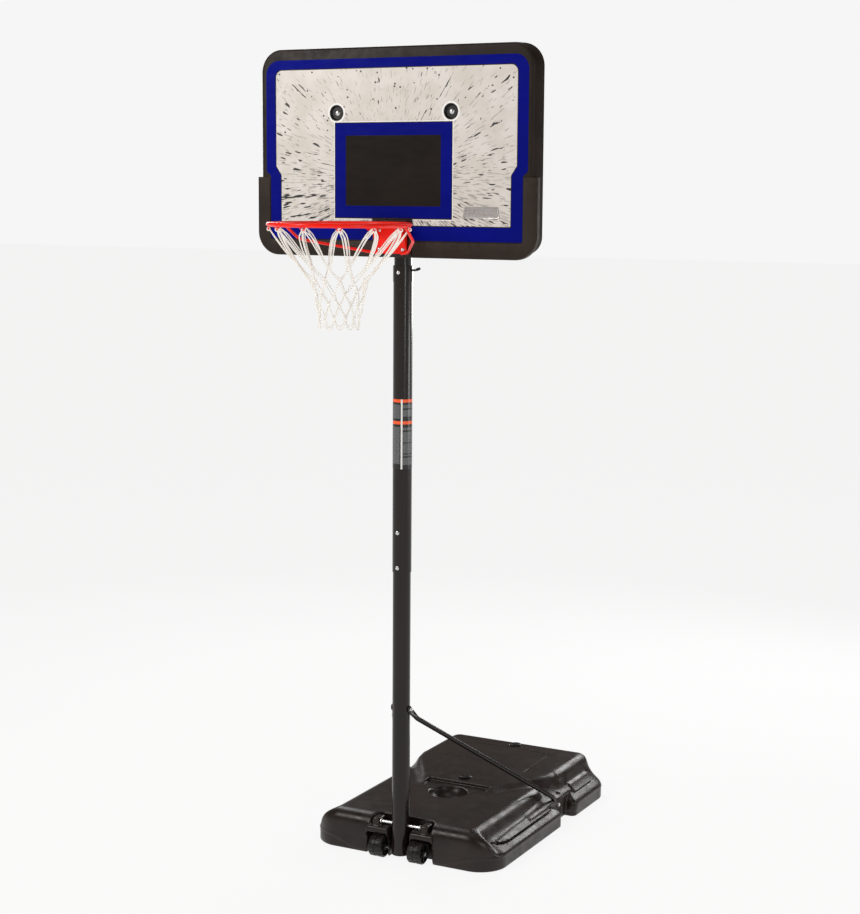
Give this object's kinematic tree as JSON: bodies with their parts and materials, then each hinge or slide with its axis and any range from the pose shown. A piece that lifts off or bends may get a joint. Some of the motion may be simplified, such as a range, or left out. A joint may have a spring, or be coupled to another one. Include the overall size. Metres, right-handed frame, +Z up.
{
  "type": "portable basketball hoop",
  "caption": "Free-standing basketball hoop: ballasted wheeled base, braced telescoping pole, backboard with corner guard, ring with net.",
  "frame": {"origin": "on the floor, on the pole's axis, in the plane of the base's underside", "axes": "+Z up along the pole, +X to the right seen from the court, +Y from the court towards the back of the base"},
  "size_m": [1.118, 1.7926, 2.969],
  "materials": {
    "base_plastic": "satin blow-moulded polyethylene",
    "water": "water ballast",
    "zinc_steel": "bright zinc plate",
    "pole_paint": "satin powder coat",
    "bracket_paint": "semi-gloss black paint",
    "black_plastic": "fine moulded grain",
    "label_film": "printed vinyl film without lettering",
    "nylon": "natural nylon",
    "board_plastic": "moulded polyethylene with fine grain",
    "guard_plastic": "moulded polyethylene with fine grain",
    "print_blue": "printed film",
    "print_white": "printed film with radiating dark streaks",
    "print_dark": "printed film",
    "badge_metal": "brushed, no marking",
    "rim_paint": "gloss powder coat",
    "net_cord": "braided nylon cord",
    "wheel_plastic": "moulded, scuffed tread",
    "seal_rubber": "matt"
  },
  "bodies": {
    "base": {"base_tank": "base_plastic", "ballast_fill": "water", "wheel_axles": "zinc_steel", "wheel_axle_clips": "zinc_steel", "pivot_rod": "zinc_steel", "pivot_rod_clips": "zinc_steel", "pole_bottom": "pole_paint", "pole_foot_cap": "black_plastic", "pole_middle": "pole_paint", "pole_label": "label_film", "pole_joint_bolts": "zinc_steel", "pole_joint_nuts": "zinc_steel", "guide_bolt": "zinc_steel", "strut_left": "pole_paint", "strut_right": "pole_paint", "strut_top_bolt": "zinc_steel", "strut_top_nut": "zinc_steel", "strut_foot_bolts": "zinc_steel", "strut_foot_nuts": "zinc_steel"},
    "upper": {"pole_top": "pole_paint", "pole_glide": "nylon", "pole_top_cap": "black_plastic", "board_shell": "board_plastic", "blue_border": "print_blue", "white_field": "print_white", "target_border": "print_blue", "target_panel": "print_dark", "blank_badge": "badge_metal", "corner_guard": "guard_plastic", "board_bolts": "zinc_steel", "board_bolt_cups": "black_plastic", "board_bolt_nuts": "zinc_steel", "bracket_arm_left": "bracket_paint", "bracket_arm_right": "bracket_paint", "arm_bolt": "zinc_steel", "arm_nut": "zinc_steel", "pole_bracket": "bracket_paint", "bracket_bolts": "zinc_steel", "bracket_nuts": "zinc_steel", "backing_plate": "bracket_paint", "rim_ring": "rim_paint", "rim_plate": "rim_paint", "rim_braces": "rim_paint", "net_hooks": "rim_paint", "rim_bolts": "zinc_steel", "rim_nuts": "zinc_steel", "net": "net_cord"},
    "pin": {"adjust_pin": "bracket_paint", "adjust_pin_grip": "black_plastic"},
    "left_wheel": {"wheel_left": "wheel_plastic"},
    "right_wheel": {"wheel_right": "wheel_plastic"},
    "front_cap": {"front_fill_cap": "black_plastic", "front_cap_seal": "seal_rubber"},
    "rear_cap": {"rear_fill_cap": "black_plastic", "rear_cap_seal": "seal_rubber"}
  },
  "joints": [
    {"name": "height_slide", "type": "slide", "parent": "base", "child": "upper", "axis": [0, 0, 1], "range_m": [0, 0.705]},
    {"name": "adjust_pin_slide", "type": "slide", "parent": "base", "child": "pin", "axis": [1, 0, 0], "range_m": [-0.008, 0.05]},
    {"name": "wheel_left_spin", "type": "hinge", "parent": "base", "child": "left_wheel", "pos_m": [-0.0815, -0.018, 0.041], "axis": [1, 0, 0], "continuous": true},
    {"name": "wheel_right_spin", "type": "hinge", "parent": "base", "child": "right_wheel", "pos_m": [0.0815, -0.018, 0.041], "axis": [1, 0, 0], "continuous": true},
    {"name": "front_cap_lift", "type": "slide", "parent": "base", "child": "front_cap", "axis": [0, 0, 1], "range_m": [0, 0.05]},
    {"name": "rear_cap_lift", "type": "slide", "parent": "base", "child": "rear_cap", "axis": [0, 0, 1], "range_m": [0, 0.05]}
  ]
}
